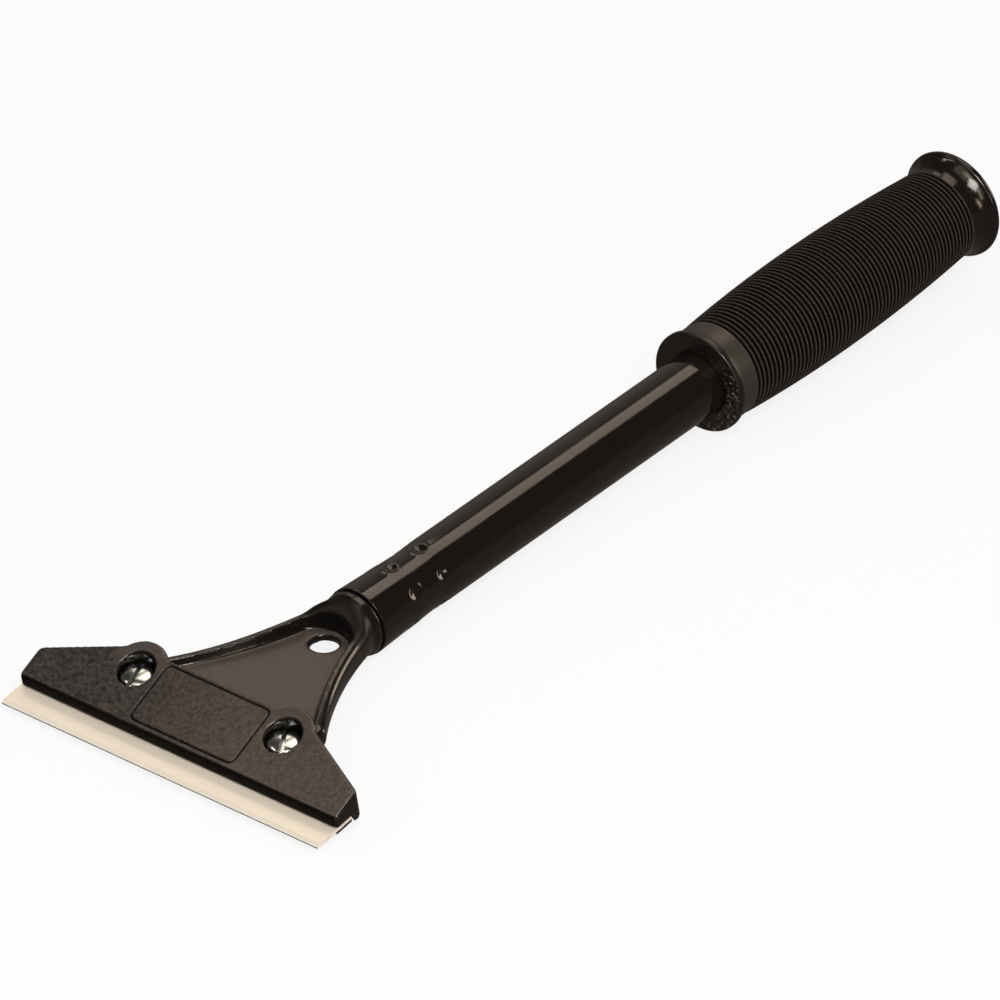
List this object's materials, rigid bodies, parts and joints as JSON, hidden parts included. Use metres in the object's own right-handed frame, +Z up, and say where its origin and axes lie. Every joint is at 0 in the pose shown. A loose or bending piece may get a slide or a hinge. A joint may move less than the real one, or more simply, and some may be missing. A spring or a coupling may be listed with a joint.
{
  "type": "algae scraper",
  "caption": "Long-handled hand scraper: straight steel blade clamped in a cast wedge head by slotted screws, flared ribbed neck with hang hole, crimped steel tube and ribbed rubber grip.",
  "frame": {"origin": "on the surface the tool lies on, under the middle of its bounding box; it lies on the mouth of its tube and on the front flange of its grip", "axes": "+X across the blade, +Y along the tool from the blade to the grip, +Z up"},
  "size_m": [0.1, 0.3094, 0.0321],
  "materials": {
    "cast_paint": "die-cast metal in satin black paint with a leathery cast texture on the jaw",
    "plate_paint": "satin black painted steel",
    "blade_steel": "bright cold-rolled steel with a finely ground edge",
    "screw_zinc": "bright zinc-plated steel",
    "tube_paint": "gloss black enamel",
    "grip_rubber": "moulded black rubber, satin"
  },
  "bodies": {
    "handle_and_head": {"head_casting": "cast_paint", "handle_tube": "tube_paint", "grip": "grip_rubber"},
    "clamp": {"clamp_plate": "plate_paint"},
    "blade_strip": {"blade": "blade_steel"},
    "left_screw": {"clamp_screw_left": "screw_zinc"},
    "right_screw": {"clamp_screw_right": "screw_zinc"}
  },
  "joints": [
    {"name": "clamp_plate_drop", "type": "slide", "parent": "handle_and_head", "child": "clamp", "axis": [0, 0.1657, -0.9862], "range_m": [0, 0.0016]},
    {"name": "left_screw_turn", "type": "hinge", "parent": "handle_and_head", "child": "left_screw", "pos_m": [-0.0233, -0.13527, 0.00985], "axis": [0, -0.1657, 0.9862], "range_deg": [0, 725]},
    {"name": "right_screw_turn", "type": "hinge", "parent": "handle_and_head", "child": "right_screw", "pos_m": [0.0233, -0.13527, 0.00985], "axis": [0, -0.1657, 0.9862], "range_deg": [0, 725]},
    {"name": "blade_slide", "type": "slide", "parent": "handle_and_head", "child": "blade_strip", "axis": [0, -0.9862, -0.1657], "range_m": [0, 0.006]}
  ],
  "couplings": [
    {"joint": "left_screw_turn", "follows": "clamp_plate_drop", "rad_per_m": 7854},
    {"joint": "right_screw_turn", "follows": "clamp_plate_drop", "rad_per_m": 7854}
  ]
}
